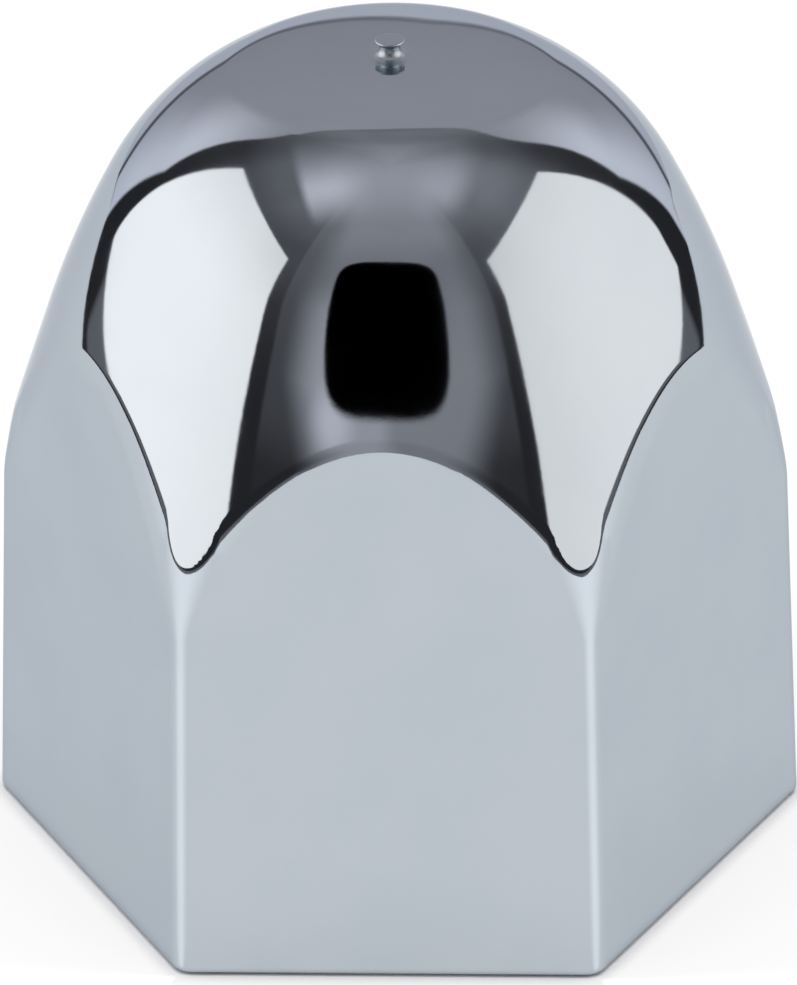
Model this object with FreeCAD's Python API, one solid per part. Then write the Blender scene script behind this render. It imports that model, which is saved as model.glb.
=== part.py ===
import FreeCAD, Part
import math
import os

# Push-on cover cap for a hexagonal wheel nut, moulded in one piece and bright plated.
# Frame: the mouth stands on Z = 0 and the axis is +Z. One flat faces -Y, two corners lie on X.
# Lengths are in millimetres and angles in degrees.

# Nut that the cap is pushed over
nut_across_flats = 21.0

# Socket that grips the nut, widest at the mouth
socket_clearance = 0.1
socket_draft = 0.3
socket_corner_radius = 0.6
socket_lead_in = 0.4

# Wall, the same round the socket and over the dome
wall_thickness = 1.9

# Hexagonal skirt
skirt_draft = 2.25
skirt_corner_radius = 0.8
rim_radius = 0.25

# Dome, a chain of tangent arcs from the apex down. Each has its radius and the tilt of its
# lower end, which is the angle between the axis and the surface's normal there.
dome_height = 29.0
crown_radius = 40.0
crown_tilt = 6.0
brow_radius = 4.3
brow_tilt = 27.0
shoulder_radius = 9.65
shoulder_tilt = 61.8
flank_radius = 32.5
flank_tilt = 71.4

# Small round along the arches, where the dome runs into the flats
blend_radius = 0.7

# Gate mark at the apex, a short stub that the moulding leaves
gate_radius = 0.45
gate_height = 0.6
gate_foot_radius = 0.25
gate_tip_radius = 0.15

# Sizes that follow
socket_across_flats = nut_across_flats + 2 * socket_clearance
skirt_across_flats = socket_across_flats + 2 * wall_thickness
dome_arcs = [
    (crown_radius, crown_tilt),
    (brow_radius, brow_tilt),
    (shoulder_radius, shoulder_tilt),
    (flank_radius, flank_tilt),
]

origin = FreeCAD.Vector(0, 0, 0)
axis = FreeCAD.Vector(0, 0, 1)
on_surface = 1e-4


def flat_distance(point, across_flats, draft, number):
    """Distance from a point to one flat of a hexagon that narrows upward."""
    angle = math.radians(30 + 60 * number)
    reach = point.x * math.cos(angle) + point.y * math.sin(angle)
    return abs(reach - across_flats / 2 + point.z * math.tan(math.radians(draft)))


def hexagonal_prism(across_flats, draft, top):
    """Solid between six flats that lean inward by the draft, from Z = 0 to the top."""
    reach = 2 * (across_flats + top)
    body = Part.makeBox(reach, reach, top, FreeCAD.Vector(-reach / 2, -reach / 2, 0))
    for number in range(6):
        half = Part.makeBox(reach, 2 * reach, 2 * reach, FreeCAD.Vector(-reach, -reach, -reach))
        half.rotate(origin, FreeCAD.Vector(0, 1, 0), -draft)
        half.translate(FreeCAD.Vector(across_flats / 2, 0, 0))
        half.rotate(origin, axis, 30 + 60 * number)
        body = body.common(half)
    return body.Solids[0].removeSplitter()


def edges_on_flats(solid, across_flats, draft, count):
    """Numbers of the edges above Z = 0 whose middle lies on this many flats."""
    numbers = []
    for number, edge in enumerate(solid.Edges, 1):
        if edge.Length < on_surface:
            continue
        middle = edge.valueAt((edge.FirstParameter + edge.LastParameter) / 2)
        touched = 0
        for flat in range(6):
            if flat_distance(middle, across_flats, draft, flat) < on_surface:
                touched += 1
        if middle.z > on_surface and touched == count:
            numbers.append(number)
    return numbers


def mouth_edges(solid):
    """Numbers of the edges that lie on Z = 0."""
    numbers = []
    for number, edge in enumerate(solid.Edges, 1):
        if edge.BoundBox.ZMax < on_surface:
            numbers.append(number)
    return numbers


def rounded(solid, radii):
    """Solid with all the numbered edges rounded in one step, so that the corners blend."""
    document = FreeCAD.newDocument("rounding")
    base = document.addObject("Part::Feature", "base")
    base.Shape = solid
    fillet = document.addObject("Part::Fillet", "fillet")
    fillet.Base = base
    fillet.Edges = [(number, radius, radius) for number, radius in radii]
    document.recompute()
    result = fillet.Shape.Solids[0].copy()
    FreeCAD.closeDocument(document.Name)
    return result


def rounded_prism(across_flats, draft, top, corner_radius):
    """Hexagonal prism with rounded corners."""
    prism = hexagonal_prism(across_flats, draft, top)
    corners = edges_on_flats(prism, across_flats, draft, 2)
    return rounded(prism, [(number, corner_radius) for number in corners])


def arc_chain(apex_height, arcs, first_tilt):
    """Edges of a dome's meridian in the YZ plane, from the first tilt down to Z = 0."""
    first_radius = arcs[0][0]
    start = FreeCAD.Vector(
        0,
        first_radius * math.sin(math.radians(first_tilt)),
        apex_height - first_radius * (1 - math.cos(math.radians(first_tilt))),
    )
    start_tilt = first_tilt
    edges = []
    for radius, end_tilt in arcs:
        points = []
        for tilt in (start_tilt, (start_tilt + end_tilt) / 2, end_tilt):
            out = radius * (math.sin(math.radians(tilt)) - math.sin(math.radians(start_tilt)))
            down = radius * (math.cos(math.radians(start_tilt)) - math.cos(math.radians(tilt)))
            points.append(start + FreeCAD.Vector(0, out, -down))
        edges.append(Part.Arc(*points).toShape())
        start = points[-1]
        start_tilt = end_tilt
    foot = FreeCAD.Vector(0, start.y + start.z / math.tan(math.radians(start_tilt)), 0)
    edges.append(Part.LineSegment(start, foot).toShape())
    return edges


def turned(meridian):
    """Solid of revolution under a meridian that runs from the axis to its foot on Z = 0."""
    top = meridian[0].Vertexes[0].Point
    foot = meridian[-1].Vertexes[-1].Point
    closing = [Part.LineSegment(foot, origin).toShape(), Part.LineSegment(origin, top).toShape()]
    return Part.Face(Part.Wire(meridian + closing)).revolve(origin, axis, 360)


def gate_meridian():
    """Edges of the gate stub, from the axis down to the crown, and the crown's tilt there."""
    tip = dome_height + gate_height
    foot_reach = gate_radius + gate_foot_radius
    foot_tilt = math.asin(foot_reach / (crown_radius + gate_foot_radius))
    foot_centre = dome_height - crown_radius + (crown_radius + gate_foot_radius) * math.cos(foot_tilt)
    slant = math.radians(45)
    turn = (math.radians(90) + foot_tilt) / 2

    top = FreeCAD.Vector(0, 0, tip)
    shoulder = FreeCAD.Vector(0, gate_radius - gate_tip_radius, tip)
    tip_centre = shoulder - axis * gate_tip_radius
    tip_middle = tip_centre + FreeCAD.Vector(0, math.sin(slant), math.cos(slant)) * gate_tip_radius
    side_top = tip_centre + FreeCAD.Vector(0, gate_tip_radius, 0)

    centre = FreeCAD.Vector(0, foot_reach, foot_centre)
    side_foot = centre - FreeCAD.Vector(0, gate_foot_radius, 0)
    foot_middle = centre - FreeCAD.Vector(0, math.sin(turn), math.cos(turn)) * gate_foot_radius
    on_crown = centre - FreeCAD.Vector(0, math.sin(foot_tilt), math.cos(foot_tilt)) * gate_foot_radius

    edges = [
        Part.LineSegment(top, shoulder).toShape(),
        Part.Arc(shoulder, tip_middle, side_top).toShape(),
        Part.LineSegment(side_top, side_foot).toShape(),
        Part.Arc(side_foot, foot_middle, on_crown).toShape(),
    ]
    return edges, math.degrees(foot_tilt)


def outer_form():
    """Skirt under the dome, with its corners, its rim and the arches of the dome rounded."""
    gate, gate_tilt = gate_meridian()
    top = turned(gate + arc_chain(dome_height, dome_arcs, gate_tilt))
    prism = hexagonal_prism(skirt_across_flats, skirt_draft, dome_height + 2 * gate_height)
    body = prism.common(top).Solids[0]
    arches = edges_on_flats(body, skirt_across_flats, skirt_draft, 1)
    corners = edges_on_flats(body, skirt_across_flats, skirt_draft, 2)
    radii = [(number, blend_radius) for number in arches]
    radii += [(number, skirt_corner_radius) for number in corners]
    radii += [(number, rim_radius) for number in mouth_edges(body)]
    return rounded(body, radii)


def cavity():
    """Socket for the nut, its lead-in, and the hollow under the dome."""
    inner_arcs = [(radius - wall_thickness, tilt) for radius, tilt in dome_arcs]
    roof = turned(arc_chain(dome_height - wall_thickness, inner_arcs, 0.0))
    socket = rounded_prism(socket_across_flats, socket_draft, dome_height, socket_corner_radius)
    mouth = socket_across_flats + 2 * socket_lead_in
    lead_in = rounded_prism(mouth, 45.0, socket_lead_in, socket_corner_radius)
    return socket.common(roof).fuse(lead_in)


def nut_cap():
    """The whole cap, one closed solid."""
    return outer_form().cut(cavity()).Solids[0]


os.makedirs("parts", exist_ok=True)
cap = nut_cap()
cap.exportStep("parts/nut_cap.step")
size = cap.BoundBox
print("nut_cap", "valid" if cap.isValid() else "not valid", "volume", round(cap.Volume))
print("size", round(size.XLength, 2), round(size.YLength, 2), round(size.ZLength, 2))
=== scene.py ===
import math

import bpy
import numpy as np
from mathutils import Matrix, Vector


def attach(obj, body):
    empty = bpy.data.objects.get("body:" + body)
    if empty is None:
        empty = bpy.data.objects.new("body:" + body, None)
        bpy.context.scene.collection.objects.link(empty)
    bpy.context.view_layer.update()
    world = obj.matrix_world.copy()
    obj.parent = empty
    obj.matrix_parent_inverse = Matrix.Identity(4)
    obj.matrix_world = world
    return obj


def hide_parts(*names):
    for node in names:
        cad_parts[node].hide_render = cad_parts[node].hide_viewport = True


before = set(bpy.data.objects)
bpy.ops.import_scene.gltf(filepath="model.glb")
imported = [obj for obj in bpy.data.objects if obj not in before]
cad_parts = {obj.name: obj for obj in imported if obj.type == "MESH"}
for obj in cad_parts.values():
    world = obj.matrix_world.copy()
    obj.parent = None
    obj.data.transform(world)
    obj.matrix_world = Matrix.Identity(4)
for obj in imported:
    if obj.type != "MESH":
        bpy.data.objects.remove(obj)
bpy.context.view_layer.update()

print("frame:", ", ".join(sorted(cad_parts)))


class Wire:
    # An output socket that Python's own operators work on. Each one adds a Math node.
    def __init__(self, graph, node, output=0):
        self.graph = graph
        self.node = node
        self.socket = node.outputs[output]

    def output(self, name):
        return Wire(self.graph, self.node, name)

    def maths(self, operation, first, second):
        return self.graph.op(operation, first, second)

    def __add__(self, other):
        return self.maths("ADD", self, other)

    def __radd__(self, other):
        return self.maths("ADD", other, self)

    def __sub__(self, other):
        return self.maths("SUBTRACT", self, other)

    def __rsub__(self, other):
        return self.maths("SUBTRACT", other, self)

    def __mul__(self, other):
        return self.maths("MULTIPLY", self, other)

    def __rmul__(self, other):
        return self.maths("MULTIPLY", other, self)

    def __truediv__(self, other):
        return self.maths("DIVIDE", self, other)

    def __rtruediv__(self, other):
        return self.maths("DIVIDE", other, self)

    def __pow__(self, other):
        return self.maths("POWER", self, other)

    def __rpow__(self, other):
        return self.maths("POWER", other, self)

    def __neg__(self):
        return self.maths("SUBTRACT", 0.0, self)

    def __abs__(self):
        return self.maths("ABSOLUTE", self, 0.0)


class Graph:
    # The nodes of one material or of the world
    def __init__(self, owner):
        owner.use_nodes = True
        self.tree = owner.node_tree
        self.tree.nodes.clear()

    def add(self, kind, settings, sockets):
        node = self.tree.nodes.new(kind)
        for name, value in settings.items():
            setattr(node, name, value)
        for name, value in sockets.items():
            if isinstance(value, Wire):
                self.tree.links.new(value.socket, node.inputs[name])
            else:
                node.inputs[name].default_value = value
        return Wire(self, node) if len(node.outputs) else node

    def op(self, operation, first, second=0.0):
        return self.add("ShaderNodeMath", {"operation": operation}, {0: first, 1: second})

    def larger(self, first, second):
        return self.op("MAXIMUM", first, second)

    def length(self, across, up):
        return self.op("SQRT", across * across + up * up)

    def soft(self, value, low, high):
        # 0 at low, 1 at high and smooth between, whichever of the two is the larger
        return self.add("ShaderNodeMapRange", {"interpolation_type": "SMOOTHSTEP"},
                        {"Value": value, "From Min": low, "From Max": high})

    def blend(self, factor, first, second):
        # 6 and 7 are the colour sockets of a Mix node, and 2 is its colour output
        mixed = self.add("ShaderNodeMix", {"data_type": "RGBA"}, {0: factor, 6: first, 7: second})
        return mixed.output(2)

    def noise(self, place, scale, detail):
        return self.add("ShaderNodeTexNoise", {}, {"Vector": place, "Scale": scale, "Detail": detail})

    def place(self, kind):
        # A texture coordinate, whole and in its three parts
        whole = self.add("ShaderNodeTexCoord", {}, {}).output(kind)
        parts = self.add("ShaderNodeSeparateXYZ", {}, {0: whole})
        return whole, parts.output("X"), parts.output("Y"), parts.output("Z")


def colour(red, green, blue):
    return (red, green, blue, 1.0)


# The bright plating. Its relief is far finer than a millimetre, so it shows only as a soft sheen.
platingTexture = {
    "hazeScale": 260.0, "hazeDetail": 5.0, "hazeSpan": (0.35, 0.7),
    "waveScale": 420.0, "waveDetail": 2.0, "waveShare": 0.8,
    "grainScale": 2600.0, "grainDetail": 3.0, "grainShare": 0.2,
    "relief": 0.0001,
}
outerPlating = {
    "tint": colour(0.500, 0.545, 0.592),
    "hazeTint": colour(0.485, 0.532, 0.580),
    "edgeTint": colour(0.66, 0.69, 0.73),
    "metal": 1.0,
    "roughness": 0.035,
    "hazeRoughness": 0.03,
    "gateRoughness": 0.33,       # the stub is left rough where the gate broke off
    "gateReach": (0.0011, 0.0007),
    "gateFrom": (0.0285, 0.0288),
    "waviness": 0.02,
}
socketPlating = {                # the plating is thin and dull inside
    "tint": colour(0.36, 0.375, 0.39),
    "hazeTint": colour(0.30, 0.31, 0.325),
    "edgeTint": colour(0.6, 0.6, 0.62),
    "metal": 0.45,
    "roughness": 0.34,
    "hazeRoughness": 0.14,
    "waviness": 0.10,
}


def platedPlastic(name, look, texture):
    material = bpy.data.materials.new(name)
    graph = Graph(material)
    place, across, along, height = graph.place("Object")
    haze = graph.soft(graph.noise(place, texture["hazeScale"], texture["hazeDetail"]), *texture["hazeSpan"])
    rough = look["roughness"] + haze * look["hazeRoughness"]
    if "gateRoughness" in look:
        gate = graph.soft(graph.length(across, along), *look["gateReach"])
        gate = gate * graph.soft(height, *look["gateFrom"])
        rough = rough + gate * look["gateRoughness"]
    wave = graph.noise(place, texture["waveScale"], texture["waveDetail"]) * texture["waveShare"]
    grain = graph.noise(place, texture["grainScale"], texture["grainDetail"]) * texture["grainShare"]
    bump = graph.add("ShaderNodeBump", {}, {
        "Strength": look["waviness"], "Distance": texture["relief"], "Height": wave + grain,
    })
    shader = graph.add("ShaderNodeBsdfPrincipled", {}, {
        "Base Color": graph.blend(haze, look["tint"], look["hazeTint"]),
        "Metallic": look["metal"], "Roughness": rough, "Normal": bump, "Specular Tint": look["edgeTint"],
    })
    graph.add("ShaderNodeOutputMaterial", {}, {"Surface": shader})
    return material


# The cap's own sizes, in millimetres and degrees. The dome's arcs run from the apex down, each with
# its radius and the tilt of its lower end.
capForm = {
    "mouthAcrossFlats": 25.0, "draft": 2.25, "cornerRadius": 0.8,
    "cornerTop": 2.4, "cornerGrows": (12.8, 15.4),     # the corners open out under the dome
    "rimRadius": 0.25, "rimBelow": 2.0,
    "domeHeight": 29.0,
    "arcs": (
        (42.21, 3.0), (26.71, 5.5), (16.59, 8.0), (10.32, 10.5), (6.79, 13.0), (4.81, 16.0), (3.74, 20.0),
        (3.28, 27.0), (9.65, 61.8), (32.5, 71.4),
    ),
    "blendRadius": 3.0, "leastBlend": 0.002,           # along the arches
    "wall": 1.9, "socketAcrossFlats": 21.2, "socketDraft": 0.3, "socketCorner": 0.6,
    "leadIn": 0.4, "leadInDraft": 45.0,
    "gateHeight": 0.6, "gateLip": 0.52, "gateTip": 0.07, "gateWaist": 0.35,
    "waistHeight": 0.34, "gateFoot": 0.32, "gateSunk": 0.005,
    "middle": 8.0,               # height on the axis that the rows of points are spread from
}
# How many rings of points lie on each part and columns on each flat, and how much they crowd
capRows = {
    "perFlat": 66, "crowdCorners": 1.5,
    "gate": 7,
    "crown": 40, "crownSpan": (2.0, 24.0),
    "dome": 74, "crowdArch": 1.35,
    "skirt": 56, "crowdUnderArch": 1.5, "skirtFoot": 0.6, "widestFoot": 14.3,
    "rim": 16,
    "inside": 24, "crowdRoof": 1.2,
}
# How far out and in how many steps the surfaces are found
search = {
    "farthest": 60.0, "halvings": 46, "archSpan": (20.0, 85.0), "archHalvings": 30, "mouthSteps": 30,
    "normalStep": 0.001,
}


def domeArcs(form):
    # Centre and angles of each arc of the dome's meridian, and the cone below it
    reach, top, first = 0.0, form["domeHeight"], 0.0
    arcs = []
    for radius, end in form["arcs"]:
        last = math.radians(end)
        centre = (reach - radius * math.sin(first), top - radius * math.cos(first))
        arcs.append((centre, radius, first, last))
        reach, top = centre[0] + radius * math.sin(last), centre[1] + radius * math.cos(last)
        first = last
    return arcs, (reach, top, first)


def domeDepth(place, form):
    # Distance outside the dome and the tilt of the dome's normal there
    reach, height = np.hypot(place[0], place[1]), place[2]
    arcs, (footReach, footTop, footTilt) = domeArcs(form)
    depth = (reach - footReach) * math.sin(footTilt) + (height - footTop) * math.cos(footTilt)
    tilt = np.full_like(reach, footTilt)
    for centre, radius, first, last in arcs:
        angle = np.arctan2(reach - centre[0], height - centre[1])
        here = (angle < last) & ((angle >= first) | (first == 0.0))
        depth = np.where(here, np.hypot(reach - centre[0], height - centre[1]) - radius, depth)
        tilt = np.where(here, angle, tilt)
    return depth, tilt


def hexagonDepth(place, acrossFlats, draft, corner):
    # Distance outside a hexagon with rounded corners that narrows upward, and how far its normal
    # turns from the radial direction
    across, along, height = place
    turn = np.mod(np.arctan2(along, across), math.pi / 3) - math.pi / 6
    reach = np.hypot(across, along)
    out, side = reach * np.cos(turn), reach * np.abs(np.sin(turn))
    core = acrossFlats / 2 - height * math.tan(math.radians(draft)) - corner
    past = np.maximum(side - core * math.tan(math.pi / 6), 0.0)
    depth = np.hypot(np.maximum(out - core, 0.0), past) - corner + np.minimum(out - core, 0.0)
    bend = np.abs(turn) - np.arctan2(past, np.maximum(out - core, 1e-6))
    return depth * math.cos(math.radians(draft)), bend


def skirtDepth(place, form):
    low, high = form["cornerGrows"]
    share = np.clip((place[2] - low) / (high - low), 0.0, 1.0)
    growth = (form["cornerTop"] - form["cornerRadius"]) * share * share * (3.0 - 2.0 * share)
    return hexagonDepth(place, form["mouthAcrossFlats"], form["draft"], form["cornerRadius"] + growth)


def mouthDepth(place, form):
    across = form["socketAcrossFlats"] + 2 * form["leadIn"]
    return hexagonDepth(place, across, form["leadInDraft"], form["socketCorner"])[0]


def softEdge(first, second, size):
    # The nearer of two surfaces that meet at an outside edge, rounded over the size
    inner = np.minimum(np.maximum(first, second) + size, 0.0)
    return inner - size + np.hypot(np.maximum(first + size, 0.0), np.maximum(second + size, 0.0))


def outerDepth(place, form):
    height = place[2]
    dome, tilt = domeDepth(place, form)
    skirt, bend = skirtDepth(place, form)
    draft = math.radians(form["draft"])
    meeting = np.sin(tilt) * np.cos(bend) * math.cos(draft) + np.cos(tilt) * math.sin(draft)
    body = softEdge(dome, skirt, np.maximum(form["blendRadius"] * (1.0 - meeting), form["leastBlend"]))
    return np.where(height < form["rimBelow"], softEdge(body, -height, form["rimRadius"]), body)


def innerDepth(place, form):
    roof = domeDepth(place, form)[0] + form["wall"]
    socket = hexagonDepth(place, form["socketAcrossFlats"], form["socketDraft"], form["socketCorner"])[0]
    leadIn = np.maximum(mouthDepth(place, form), place[2] - form["leadIn"])
    return np.minimum(np.maximum(roof, socket), leadIn)


def crossing(depth, form, polar, azimuth):
    # Where rays from the middle cross a surface
    ray = (np.sin(polar) * np.cos(azimuth), np.sin(polar) * np.sin(azimuth), np.cos(polar))
    near, far = np.zeros_like(ray[0]), np.full_like(ray[0], search["farthest"])
    for step in range(search["halvings"]):
        middle = (near + far) / 2
        place = [ray[0] * middle, ray[1] * middle, ray[2] * middle + form["middle"]]
        inside = depth(place, form) < 0.0
        near, far = np.where(inside, middle, near), np.where(inside, far, middle)
    return [ray[0] * near, ray[1] * near, ray[2] * near + form["middle"]]


def onSkirt(place, form):
    return skirtDepth(place, form)[0]


def archPolar(form, azimuth):
    # How far down from the axis the dome meets the skirt, on every side
    low, high = (np.full_like(azimuth, math.radians(angle)) for angle in search["archSpan"])
    for step in range(search["archHalvings"]):
        middle = (low + high) / 2
        overDome = domeDepth(crossing(onSkirt, form, middle, azimuth), form)[0] > 0.0
        low, high = np.where(overDome, middle, low), np.where(overDome, high, middle)
    return low


def shell(depth, form, polar, azimuth):
    # Points where rays from the middle cross a surface, and the surface's normals there
    place = crossing(depth, form, polar, azimuth)
    normal = []
    for number in range(3):
        ahead, behind = list(place), list(place)
        ahead[number] = place[number] + search["normalStep"]
        behind[number] = place[number] - search["normalStep"]
        normal.append(depth(ahead, form) - depth(behind, form))
    length = np.sqrt(normal[0] ** 2 + normal[1] ** 2 + normal[2] ** 2)
    return np.stack(place, -1), np.stack([part / length for part in normal], -1)


def columns(rows):
    # Azimuths of the columns of points, closest together at the skirt's corners
    share = np.linspace(-1.0, 1.0, rows["perFlat"], endpoint=False)
    turns = np.sign(share) * (1.0 - (1.0 - np.abs(share)) ** rows["crowdCorners"]) * math.pi / 6
    return np.concatenate([turns + math.pi / 6 + math.pi / 3 * number for number in range(6)])


def mouthReach(form, azimuth):
    # How far out the mouth's inner edge lies, found in a few steps because its corners are round
    local = np.mod(azimuth, math.pi / 3) - math.pi / 6
    reach = (form["socketAcrossFlats"] / 2 + form["leadIn"]) / np.cos(local)
    for step in range(search["mouthSteps"]):
        place = (reach * np.cos(azimuth), reach * np.sin(azimuth), np.zeros_like(reach))
        reach = reach - mouthDepth(place, form)
    return reach


def outsideRows(form, rows, azimuth, edge):
    # Polar angles from the crown to the rim's edge. The rows come in line with the arches.
    first, start = (math.radians(angle) for angle in rows["crownSpan"])
    crown = np.linspace(first, start, rows["crown"], endpoint=False)
    down = [np.full_like(azimuth, angle) for angle in crown]
    arch = archPolar(form, azimuth)
    for number in range(rows["dome"]):
        down.append(start + (arch - start) * (1.0 - (1.0 - number / rows["dome"]) ** rows["crowdArch"]))
    local = np.mod(azimuth, math.pi / 3) - math.pi / 6
    base = np.minimum(form["mouthAcrossFlats"] / 2 / np.cos(local), rows["widestFoot"])
    foot = math.pi / 2 + np.arctan2(form["middle"] - rows["skirtFoot"], base)
    for number in range(rows["skirt"]):
        down.append(arch + (foot - arch) * (number / rows["skirt"]) ** rows["crowdUnderArch"])
    for number in range(rows["rim"] + 1):
        down.append(foot + (edge - foot) * number / (rows["rim"] + 1))
    return np.array(down)


def insideRows(rows, edge):
    shares = [number / rows["inside"] for number in range(1, rows["inside"])]
    return np.array([edge * (1.0 - share ** rows["crowdRoof"]) for share in shares])


def gateOutline(form, count):
    # The stub's outline from the middle of its top down to the crown, with its normals
    lip, tip, waist, low = form["gateLip"], form["gateTip"], form["gateWaist"], form["waistHeight"]
    top = form["gateHeight"]
    share = np.linspace(0.0, 1.0, count)
    disc = [share * (lip - tip), np.full_like(share, top)]
    turn = share[1:] * math.pi / 2
    edge = [lip - tip + tip * np.sin(turn), top - tip + tip * np.cos(turn)]
    neck = [waist + (lip - waist) * (1.0 - share[1:]) ** 2, top - tip - (top - tip - low) * share[1:]]
    foot = [waist + form["gateFoot"] * (1.0 - np.cos(turn)), low * (1.0 - np.sin(turn))]
    reach, height = (np.concatenate(parts) for parts in zip(disc, edge, neck, foot))
    outward, upward = -np.gradient(height), np.gradient(reach)
    length = np.hypot(outward, upward)
    height = height + form["domeHeight"] - form["gateSunk"]
    return reach[1:], height[1:], (outward / length)[1:], (upward / length)[1:]


def turned(reach, height, azimuth):
    # Rings about the axis, one for each pair of values
    around = np.stack([np.cos(azimuth), np.sin(azimuth), np.zeros_like(azimuth)], -1)[None]
    axis = np.array([0.0, 0.0, 1.0])
    return around * reach[:, None, None] + axis * height[:, None, None]


def capFaces(rings, count, outerRings):
    # Quads from ring to ring and a fan at each end. Finish 0 is outside and 1 is the socket's.
    faces, finishes = [], []
    for ring in range(rings - 1):
        here, below = ring * count, (ring + 1) * count
        for step in range(count):
            after = (step + 1) % count
            faces.append((here + step, below + step, below + after, here + after))
            finishes.append(int(ring + 1 >= outerRings))
    last, apex, roof = (rings - 1) * count, rings * count, rings * count + 1
    for step in range(count):
        after = (step + 1) % count
        faces += [(apex, step, after), (roof, last + after, last + step)]
        finishes += [0, 1]
    return faces, finishes


def capMesh(form, rows):
    # One closed skin: rings of points from the apex down the outside, round the rim and up the inside
    azimuth = columns(rows)
    mouth = mouthReach(form, azimuth)
    edge = math.pi / 2 + np.arctan2(form["middle"], mouth)
    outside, outNormal = shell(outerDepth, form, outsideRows(form, rows, azimuth, edge), azimuth)
    inside, inNormal = shell(innerDepth, form, insideRows(rows, edge), azimuth)
    reach, height, outward, upward = gateOutline(form, rows["gate"])
    gate, gateNormal = turned(reach, height, azimuth), turned(outward, upward, azimuth)
    ring = np.stack([mouth * np.cos(azimuth), mouth * np.sin(azimuth), np.zeros_like(mouth)], -1)[None]
    ringNormal = np.broadcast_to(np.array([0.0, 0.0, -1.0]), ring.shape)
    points = np.concatenate([gate, outside, ring, inside])
    normals = np.concatenate([gateNormal, outNormal, ringNormal, -inNormal])
    faces, finishes = capFaces(len(points), len(azimuth), len(gate) + len(outside))
    apex = [0.0, 0.0, form["domeHeight"] + form["gateHeight"]]
    roof = [0.0, 0.0, form["domeHeight"] - form["wall"]]
    points = np.concatenate([points.reshape(-1, 3), np.array([apex, roof])]) / 1000.0
    normals = np.concatenate([normals.reshape(-1, 3), np.array([[0.0, 0.0, 1.0], [0.0, 0.0, -1.0]])])
    return points, normals, faces, finishes


def makeCap(form, rows):
    points, normals, faces, finishes = capMesh(form, rows)
    mesh = bpy.data.meshes.new("cap")
    mesh.from_pydata(points.tolist(), [], faces)
    mesh.polygons.foreach_set("use_smooth", [True] * len(faces))
    mesh.polygons.foreach_set("material_index", finishes)
    mesh.normals_split_custom_set_from_vertices(normals.tolist())
    mesh.materials.append(platedPlastic("bright plating", outerPlating, platingTexture))
    mesh.materials.append(platedPlastic("socket plating", socketPlating, platingTexture))
    made = bpy.data.objects.new("plated_cap", mesh)
    bpy.context.scene.collection.objects.link(made)
    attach(made, "root")
    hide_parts("nut_cap")
    return made


cap = makeCap(capForm, capRows)
print("cap:", len(cap.data.vertices), "points")


floor = {
    "halfWidth": 0.140,
    "front": -0.240,
    "behind": 0.170,
    "drop": 0.00002,              # the rim stands just clear of it
    "colour": colour(0.965, 0.967, 0.972),
    "glow": 0.74,
    "paintedContactShadow": (0.0124, 0.0131),  # painted shadow: the glow is taken away this close to the rim, so the lit floor's own shade shows deeper there
    "hole": (0.0121, 0.0120),     # open below the cap, so that light reaches its socket
    "cornerAt": (0.0072, 0.0125),  # where the front corners stand
    "gleamTurn": 60.0,            # the painted gleam's direction from there, and its spread, in degrees
    "gleamSpread": (40.0, 2.0),
    "gleamLift": 0.42,
}


def paintedCornerGleam(graph, look):
    # Painted light: the board's glow is stronger on a line out from each front corner, which the corners
    # mirror as a painted highlight
    place, across, along, height = graph.place("Object")
    cornerAcross, cornerAhead = look["cornerAt"]
    turn = graph.op("ARCTAN2", abs(across) - cornerAcross, -along - cornerAhead) * (180.0 / math.pi)
    return graph.soft(abs(turn - look["gleamTurn"]), *look["gleamSpread"]) * look["gleamLift"] + 1.0


def fromAxis(graph):
    # How far a point of the floor is from the axis, measured square to the nearest flat
    place, across, along, height = graph.place("Object")
    aside, ahead = across * math.cos(math.pi / 6), along * math.sin(math.pi / 6)
    return graph.larger(graph.larger(abs(aside + ahead), abs(aside - ahead)), abs(along))


def boardPaint(look):
    material = bpy.data.materials.new("white floor")
    graph = Graph(material)
    reach = fromAxis(graph)
    paper = graph.add("ShaderNodeBsdfDiffuse", {}, {"Color": look["colour"]})
    # the board's glow, stronger on the painted gleam lines out from the front corners
    white = graph.add("ShaderNodeEmission", {}, {
        "Color": colour(1.0, 1.0, 1.0), "Strength": paintedCornerGleam(graph, look),
    })
    rays = graph.add("ShaderNodeLightPath", {}, {})
    seen = rays.output("Is Camera Ray") + rays.output("Is Glossy Ray") + rays.output("Is Transmission Ray")
    # painted shadow: near the rim the glow fades out, leaving only the real shade of the diffuse-lit floor
    shine = seen * look["glow"] * graph.soft(reach, *look["paintedContactShadow"])
    top = graph.add("ShaderNodeMixShader", {}, {0: shine, 1: paper, 2: white})
    clear = graph.add("ShaderNodeBsdfTransparent", {}, {})
    behind = graph.add("ShaderNodeNewGeometry", {}, {}).output("Backfacing")
    opening = graph.larger(behind, graph.soft(reach, *look["hole"]))     # the mouth shows from below
    surface = graph.add("ShaderNodeMixShader", {}, {0: opening, 1: top, 2: clear})
    graph.add("ShaderNodeOutputMaterial", {}, {"Surface": surface})
    return material


def makeFloor(look):
    # A white board under the cap. What lies past its edges is the dim room.
    across, front, behind, low = look["halfWidth"], look["front"], look["behind"], -look["drop"]
    corners = [(-across, front, low), (across, front, low), (across, behind, low), (-across, behind, low)]
    mesh = bpy.data.meshes.new("floor")
    mesh.from_pydata(corners, [], [(0, 1, 2, 3)])
    mesh.materials.append(boardPaint(look))
    made = bpy.data.objects.new("floor", mesh)
    bpy.context.scene.collection.objects.link(made)


makeFloor(floor)
print("floor: made")


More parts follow.
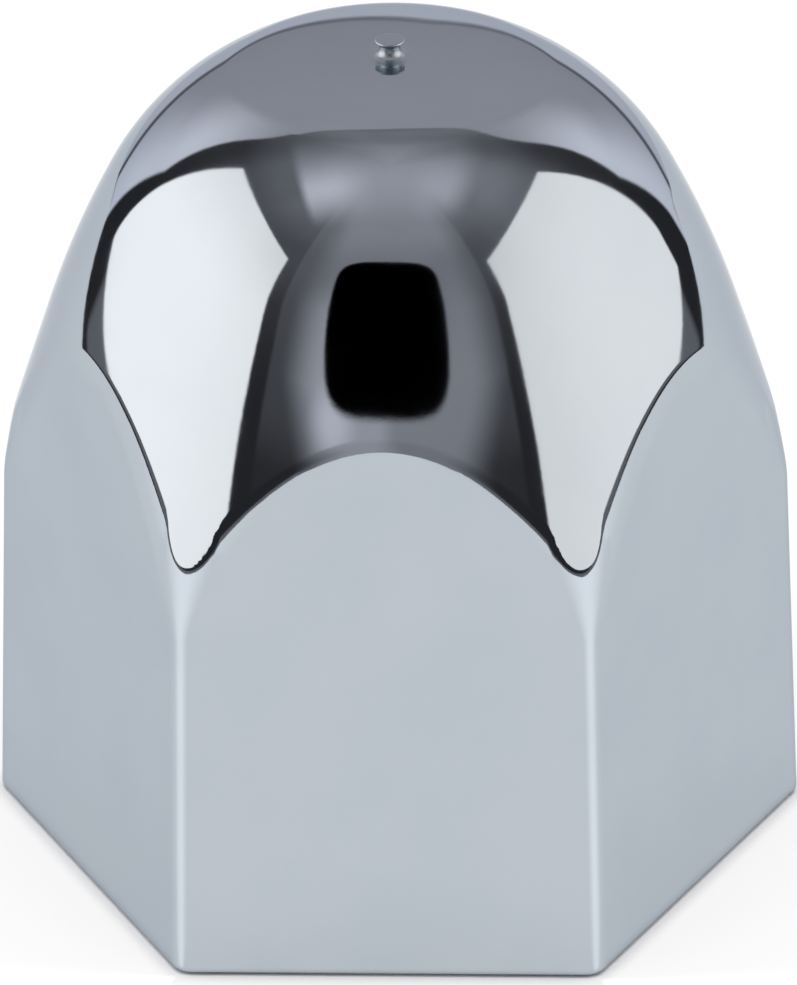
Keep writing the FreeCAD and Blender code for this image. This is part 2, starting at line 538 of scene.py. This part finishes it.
# The room round the cap, by direction. Angles are in degrees: azimuths from -Y towards +X, and
# elevations. Heights and widths of a panel are tangents, as on a flat sheet one unit away. A pair
# runs from where a soft change begins to where it ends.
sideBox = {                      # what the two side boxes have in common
    "azimuth": 88.0, "edge": 0.015,
    "bottom": -0.05, "bottomRise": 0.11, "riseSpan": (0.35, 0.72), "bottomEdge": 0.006,
    "topSpan": (0.3, 1.2), "frontSpan": (0.0, 0.9),
}
leftBox = {
    **sideBox, "side": -1.0, "frontEdge": 0.82, "rearEdge": 0.78, "lean": 0.36, "top": 1.14,
    "light": 1.58, "topFade": 0.17, "frontFade": 0.10,
}
rightBox = {
    **sideBox, "side": 1.0, "frontEdge": 0.855, "rearEdge": 0.74, "lean": 0.33, "top": 1.16,
    "light": 1.32, "topFade": 0.09, "frontFade": 0.11,
}
blackCard = {
    "azimuth": -0.5, "halfWidth": 0.43, "middle": 0.714, "halfHeight": 0.437, "squareness": 4.5, "edge": 0.06,
}
overheadBox = {
    "left": -0.49, "right": 0.39, "leftEdge": 0.04, "rightEdge": 0.10,
    "rear": (-0.38, 0.12), "front": (0.50, 0.14), "upward": (0.3, 0.5), "leastUp": 0.05,
    "light": 0.53, "leftLift": 0.24, "leftSpan": (0.05, 0.32), "rightLift": 0.08, "rightSpan": (0.08, 0.24),
    "frontSpan": (-0.15, 0.15),
}
backPanels = {
    "edgeAzimuth": 125.5, "flare": 0.48, "flareBelow": 18.0, "topElevation": 59.5, "sag": 5.0,
    "sagSpan": (142.0, 184.0), "corner": 12.0, "edge": 0.8,
    "light": 0.45, "edgeLift": 0.50, "liftReach": (26.0, 3.0), "liftSpan": (60.0, 25.0),
}
backSweep = {
    "top": 15.0, "bottom": -11.0, "spread": 35.0, "curve": 0.7, "edge": (0.0, -2.0),
    "sides": (138.0, 143.0), "light": 0.80,
    "gap": 2.4, "gapNarrows": 1.7, "gapEdge": (0.7, -0.9), "gapLight": 0.12, "gapLift": 0.16,
}
frontWall = {
    "tallest": 18.0, "leftReach": 16.0, "leftLean": 0.85, "rightReach": 19.0, "edge": (8.0, -9.0),
    "left": 0.42, "right": 0.26, "leftSpan": (3.0, -4.0), "upper": 0.13, "upperSpan": (42.0, 18.0),
    "spot": 0.25, "spotAt": (-18.5, 14.0), "spotSize": (6.0, 4.0), "spotEdge": (1.7, 0.2),
    "besideCard": 0.055, "besideReach": (43.0, 41.5), "besideSpan": (3.0, 14.0),
}
room = {
    "tint": (1.0, 0.985, 1.06),
    "boxTint": (1.035, 1.0, 0.965),
    "driftScale": 3.0, "driftDetail": 3.0, "drift": 0.5, "panelDrift": 0.12,
    "shade": 0.03, "gloom": 0.11, "gloomSpan": (10.0, 50.0),
    "rear": 0.07, "rearSpan": (132.0, 165.0),
    "right": 0.09, "rightAt": 82.0, "rightSpan": (45.0, 5.0),
    "high": 0.09, "highSpan": (45.0, 62.0),
    "dark": 0.05, "darkAt": 122.0, "darkSpan": (18.0, 2.0),
    "boardEdge": 0.19, "boardAt": -4.5, "boardSpan": (2.6, 1.6), "boardSides": (124.0, 119.0),
    "underLight": colour(0.75, 0.75, 0.76), "underSpan": (-14.0, -28.0),
    "facing": (0.02, 0.06), "leastAhead": 0.001,
}


class Direction:
    # The parts of a direction that the panels are drawn with
    def __init__(self, graph, look):
        self.graph, self.look = graph, look
        self.vector, self.x, self.y, self.z = graph.place("Generated")
        degrees = 180.0 / math.pi
        self.azimuth = graph.op("ARCTAN2", self.x, -self.y) * degrees
        self.turn = abs(self.azimuth)
        self.elevation = graph.op("ARCSINE", self.z) * degrees

    def onSheet(self, azimuth):
        # Where the direction meets an upright sheet: how far ahead, across and up
        angle = math.radians(azimuth)
        ahead = self.x * math.sin(angle) - self.y * math.cos(angle)
        aside = self.x * math.cos(angle) + self.y * math.sin(angle)
        depth = self.graph.larger(ahead, self.look["leastAhead"])
        return self.graph.soft(ahead, *self.look["facing"]), aside / depth, self.z / depth


def softBox(graph, way, look):
    ahead, across, high = way.onSheet(look["side"] * look["azimuth"])
    toFront = across * -look["side"]
    edge = look["edge"]
    fromRear = toFront - (high * look["lean"] - look["rearEdge"])
    mask = ahead * graph.soft(toFront, look["frontEdge"] + edge, look["frontEdge"] - edge)
    mask = mask * graph.soft(fromRear, -edge, edge)
    above = high - look["bottom"] - graph.soft(toFront, *look["riseSpan"]) * look["bottomRise"]
    mask = mask * graph.soft(above, -look["bottomEdge"], look["bottomEdge"])
    mask = mask * graph.soft(high, look["top"] + edge, look["top"] - edge)
    fade = graph.soft(high, *look["topSpan"]) * look["topFade"]
    fade = fade + graph.soft(toFront, *look["frontSpan"]) * look["frontFade"]
    return mask, look["light"] * (1.0 - fade)


def overheadLight(graph, way, look):
    depth = graph.larger(way.z, look["leastUp"])
    aside, ahead = way.x / depth, -way.y / depth
    mask = graph.soft(aside, look["left"] - look["leftEdge"], look["left"] + look["leftEdge"])
    mask = mask * graph.soft(aside, look["right"] + look["rightEdge"], look["right"] - look["rightEdge"])
    mask = mask * graph.soft(ahead, *look["rear"]) * graph.soft(ahead, *look["front"])
    mask = mask * graph.soft(way.z, *look["upward"])
    lift = graph.soft(-aside, *look["leftSpan"]) * look["leftLift"]
    lift = lift + graph.soft(aside, *look["rightSpan"]) * look["rightLift"]
    return mask, look["light"] + lift * graph.soft(ahead, *look["frontSpan"])


def backLight(graph, way, look):
    # Two panels that run into one behind the cap, with round upper corners
    low = graph.larger(look["flareBelow"] - way.elevation, 0.0)
    inside = way.turn - look["edgeAzimuth"] - low * look["flare"]
    sag = graph.soft(way.turn, *look["sagSpan"]) * look["sag"]
    under = look["topElevation"] - sag - way.elevation
    corner, edge = look["corner"], look["edge"]
    radius = graph.length(graph.larger(corner - inside, 0.0), graph.larger(corner - under, 0.0))
    mask = graph.soft(radius, corner + edge, corner - edge)
    lift = graph.soft(inside, *look["liftReach"]) * graph.soft(way.elevation, *look["liftSpan"])
    return mask, look["light"] + lift * look["edgeLift"]


def sweepLight(graph, way, look):
    # The backdrop's foot: its outer edge falls from the middle behind the cap to either side
    share = graph.larger((way.turn - 180.0 + look["spread"]) / look["spread"], 0.0)
    above = way.elevation - (look["bottom"] + (look["top"] - look["bottom"]) * share ** look["curve"])
    sides = graph.soft(way.turn, *look["sides"])
    mask = graph.soft(above, *look["edge"]) * sides
    half = look["gap"] - share * look["gapNarrows"]
    gap = graph.soft(abs(above - half) - half, *look["gapEdge"]) * sides
    return mask, gap, look["gapLight"] + share * look["gapLift"]


def frontLight(graph, way, look):
    # Dim surfaces behind the camera, lighter to the left and below the card, and dark beside them
    rise = graph.op("MINIMUM", graph.larger(way.elevation, 0.0), look["tallest"])
    left = -way.azimuth - look["leftReach"] - rise * look["leftLean"]
    right = way.azimuth - look["rightReach"] - rise
    inside = graph.soft(left, *look["edge"]) * graph.soft(right, *look["edge"])
    low = look["right"] + graph.soft(way.azimuth, *look["leftSpan"]) * (look["left"] - look["right"])
    level = look["upper"] + graph.soft(way.elevation, *look["upperSpan"]) * (low - look["upper"])
    spotAcross = (way.azimuth - look["spotAt"][0]) / look["spotSize"][0]
    spotUp = (way.elevation - look["spotAt"][1]) / look["spotSize"][1]
    spot = graph.soft(graph.length(spotAcross, spotUp), *look["spotEdge"]) * look["spot"]
    beside = graph.soft(way.turn, *look["besideReach"]) * graph.soft(way.elevation, *look["besideSpan"])
    return inside * level + spot + beside * look["besideCard"]


def roomLight(graph, way, look, drift):
    # The dim walls and ceiling, and the thin edge of the board
    rear = graph.soft(way.turn, *look["rearSpan"]) * look["rear"]
    right = graph.soft(abs(way.azimuth - look["rightAt"]), *look["rightSpan"]) * look["right"]
    dark = graph.soft(abs(way.turn - look["darkAt"]), *look["darkSpan"]) * look["dark"]
    high = graph.soft(way.elevation, *look["highSpan"]) * look["high"]
    upper = graph.soft(way.elevation, *look["gloomSpan"])
    level = look["shade"] + (look["gloom"] - look["shade"] + rear + right + high - dark) * upper
    level = level * (1.0 + drift * look["drift"]) + frontLight(graph, way, frontWall)
    board = graph.soft(abs(way.elevation - look["boardAt"]), *look["boardSpan"]) * look["boardEdge"]
    return graph.larger(level, board * graph.soft(way.turn, *look["boardSides"]))


def cardShade(graph, way, look):
    # 1 on the black card, which is a square with soft corners
    ahead, across, high = way.onSheet(look["azimuth"])
    first = abs(across / look["halfWidth"]) ** look["squareness"]
    second = abs((high - look["middle"]) / look["halfHeight"]) ** look["squareness"]
    outline = (first + second) ** (1.0 / look["squareness"])
    return graph.soft(outline, 1.0 + look["edge"] / 2, 1.0 - look["edge"] / 2) * ahead


def tinted(graph, level, tint):
    red, green, blue = tint
    return graph.add("ShaderNodeCombineColor", {}, {0: level * red, 1: level * green, 2: level * blue})


def makeStudio(look):
    world = bpy.data.worlds.new("studio")
    bpy.context.scene.world = world
    graph = Graph(world)
    way = Direction(graph, look)
    drift = graph.noise(way.vector, look["driftScale"], look["driftDetail"]) - 0.5
    level = roomLight(graph, way, look, drift)
    for mask, light in (overheadLight(graph, way, overheadBox), backLight(graph, way, backPanels)):
        level = level + mask * (light * (1.0 + drift * look["panelDrift"]) - level)
    sweep, gap, gapLight = sweepLight(graph, way, backSweep)
    level = level + gap * (gapLight - level)
    level = level + sweep * (backSweep["light"] - level)
    level = level * (1.0 - cardShade(graph, way, blackCard))
    light = tinted(graph, level, look["tint"])
    for panel in (leftBox, rightBox):
        mask, level = softBox(graph, way, panel)
        light = graph.blend(mask, light, tinted(graph, level, look["boxTint"]))
    light = graph.blend(graph.soft(way.elevation, *look["underSpan"]), light, look["underLight"])
    # the backdrop itself is white, and the cap mirrors the studio
    seen = graph.add("ShaderNodeLightPath", {}, {}).output("Is Camera Ray")
    light = graph.blend(seen, light, colour(1.0, 1.0, 1.0))
    background = graph.add("ShaderNodeBackground", {}, {"Color": light, "Strength": 1.0})
    graph.add("ShaderNodeOutputWorld", {}, {"Surface": background})


makeStudio(room)
print("studio: made")


overhead = {"size": 0.7, "height": 0.8, "power": 4.1}


def makeLamp(look):
    lamp = bpy.data.lights.new("overhead", "AREA")
    lamp.shape = "DISK"
    lamp.size = look["size"]
    lamp.energy = look["power"]
    made = bpy.data.objects.new("overhead", lamp)
    made.location = (0.0, 0.0, look["height"])
    made.visible_glossy = False  # the cap mirrors the studio's own panel
    bpy.context.scene.collection.objects.link(made)


makeLamp(overhead)
print("lamp: made")


view = {
    "distance": 0.225,
    "elevation": 28.998,
    "yaw": 1.9793,
    "roll": -0.6804,
    "aside": 0.0001153,          # aim point beside the axis
    "height": 0.012073,          # and above the floor
    "focal": 6410.45,            # in pixels of the photograph
    "pixelsHigh": 985,
    "sensor": 36.0,
    "nearest": 0.0225,
    "farthest": 22.5,
}


def makeCamera(look):
    tilt, turn, roll = (math.radians(look[name]) for name in ("elevation", "yaw", "roll"))
    back = Vector((math.cos(tilt) * math.sin(turn), -math.cos(tilt) * math.cos(turn), math.sin(tilt)))
    right = Vector((0.0, 0.0, 1.0)).cross(back).normalized()
    up = back.cross(right)
    place = right * look["aside"] + Vector((0.0, 0.0, look["height"])) + back * look["distance"]
    rolledRight = right * math.cos(roll) + up * math.sin(roll)
    rolledUp = up * math.cos(roll) - right * math.sin(roll)
    camera = bpy.data.cameras.new("camera")
    camera.sensor_width = look["sensor"]
    camera.lens = look["focal"] * look["sensor"] / look["pixelsHigh"]
    camera.clip_start, camera.clip_end = look["nearest"], look["farthest"]
    made = bpy.data.objects.new("camera", camera)
    made.matrix_world = Matrix((
        (rolledRight.x, rolledUp.x, back.x, place.x),
        (rolledRight.y, rolledUp.y, back.y, place.y),
        (rolledRight.z, rolledUp.z, back.z, place.z),
        (0.0, 0.0, 0.0, 1.0),
    ))
    bpy.context.scene.collection.objects.link(made)
    bpy.context.scene.camera = made


makeCamera(view)
bpy.context.scene.view_settings.view_transform = "Standard"
print("camera: made")
